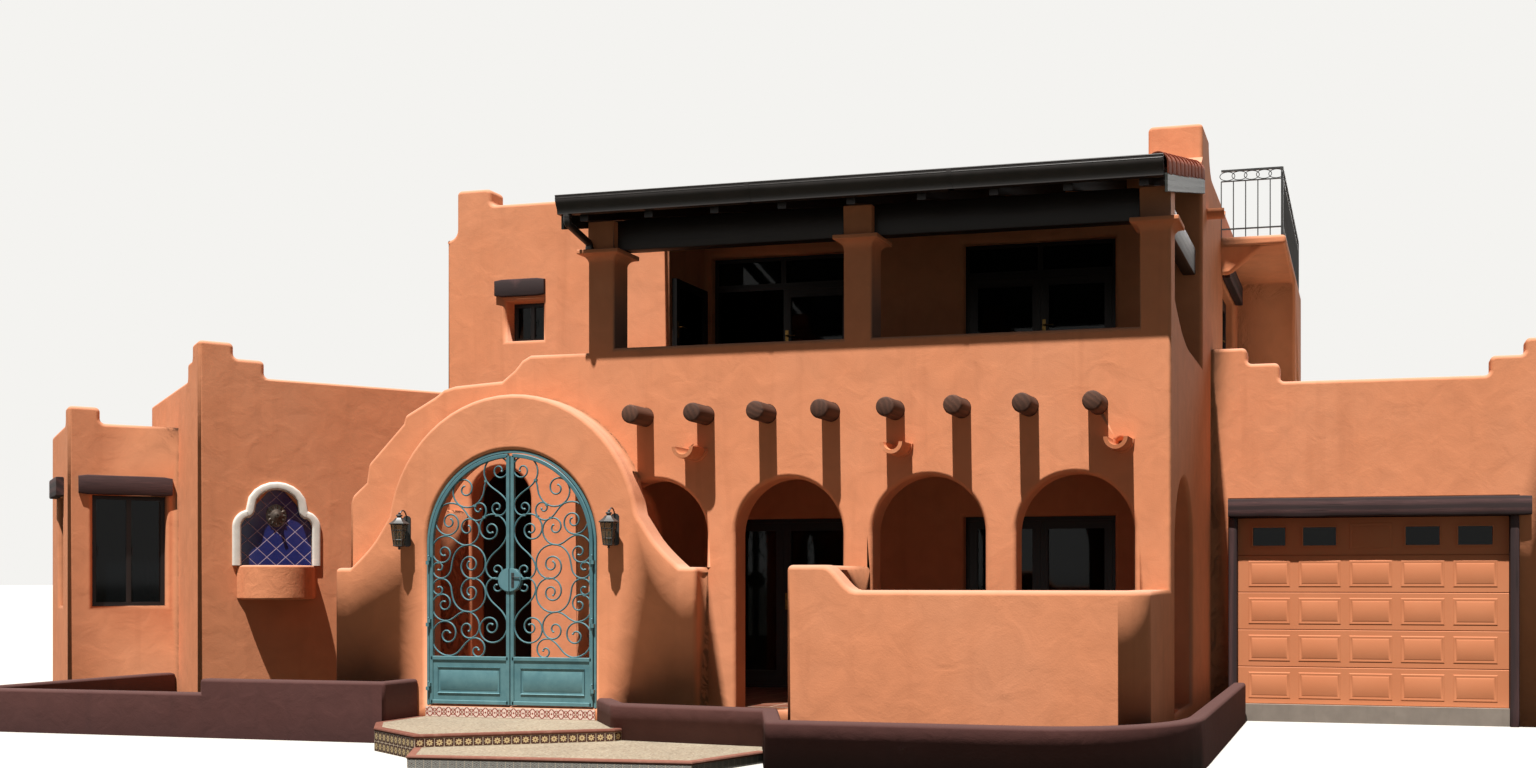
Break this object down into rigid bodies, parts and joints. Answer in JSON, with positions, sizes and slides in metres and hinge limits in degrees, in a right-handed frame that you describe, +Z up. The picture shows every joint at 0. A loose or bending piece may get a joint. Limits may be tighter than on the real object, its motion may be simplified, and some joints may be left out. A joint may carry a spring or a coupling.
{
  "type": "adobe house",
  "caption": "Two-storey adobe house with arcade, loggia, log ends, arched iron gate, niche wing and garage.",
  "frame": {"origin": "front right corner of the main block's arcade wall, at the lowest ground", "axes": "+X right along the loggia front, +Y into the house, +Z up"},
  "size_m": [19.7238, 11.47, 6.85],
  "materials": {
    "stucco": "troweled lime stucco, painted terracotta orange",
    "slab": "cast screed",
    "dark_timber": "near-black stained timber",
    "log": "weathered brown log, bark removed",
    "brown_timber": "rough-sawn timber painted dark brown",
    "clay": "fired clay",
    "gutter_metal": "dark brown enamel",
    "window_glass": "clear float glass",
    "gate_iron": "wrought iron painted dusty teal",
    "lantern_iron": "black painted iron",
    "railing_iron": "black painted iron",
    "step_stone": "washed aggregate with glazed tile risers",
    "planter_stucco": "smooth stucco painted wine brown",
    "niche_plaster": "smooth cream plaster",
    "mask_bronze": "dark cast metal",
    "garage_panel": "pressed steel painted terracotta orange"
  },
  "bodies": {
    "house": {"arcade_wall": "stucco", "balcony_railing": "railing_iron", "balcony_slab": "stucco", "bay_walls": "stucco", "canales": "clay", "door_frames": "dark_timber", "door_glass": "window_glass", "eaves_gutter": "gutter_metal", "entry_steps": "step_stone", "floor_slabs": "slab", "fountain_basin": "stucco", "fountain_mask": "mask_bronze", "garage_door": "garage_panel", "garage_front_wall": "stucco", "garage_side_walls": "stucco", "garage_trim": "brown_timber", "gate_arch": "stucco", "gate_frame": "gate_iron", "gate_wall": "stucco", "loggia_beam": "dark_timber", "loggia_floor": "dark_timber", "loggia_piers": "stucco", "loggia_rafters": "dark_timber", "loggia_roof": "clay", "main_back_wall": "stucco", "main_front_wall": "stucco", "main_right_wall": "stucco", "niche_surround": "niche_plaster", "planter_left": "planter_stucco", "planter_right": "planter_stucco", "rear_block_walls": "stucco", "roof_slabs": "slab", "terrace_wall": "stucco", "tower_front_wall": "stucco", "tower_left_wall": "stucco", "tower_right_wall": "stucco", "vigas": "log", "wall_lanterns": "lantern_iron", "window_frames": "dark_timber", "wing_back_wall": "stucco", "wing_front_wall": "stucco", "wing_left_wall": "stucco", "wood_lintels": "brown_timber"},
    "gate_left": {"gate_leaf_left": "gate_iron"},
    "gate_right": {"gate_leaf_right": "gate_iron"}
  },
  "joints": [
    {"name": "gate_left_hinge", "type": "hinge", "parent": "house", "child": "gate_left", "pos_m": [-7.79, -0.288, 1.2], "axis": [0, 0, -1], "range_deg": [0, 90]},
    {"name": "gate_right_hinge", "type": "hinge", "parent": "house", "child": "gate_right", "pos_m": [-5.89, -0.288, 1.2], "axis": [0, 0, 1], "range_deg": [0, 90]}
  ]
}
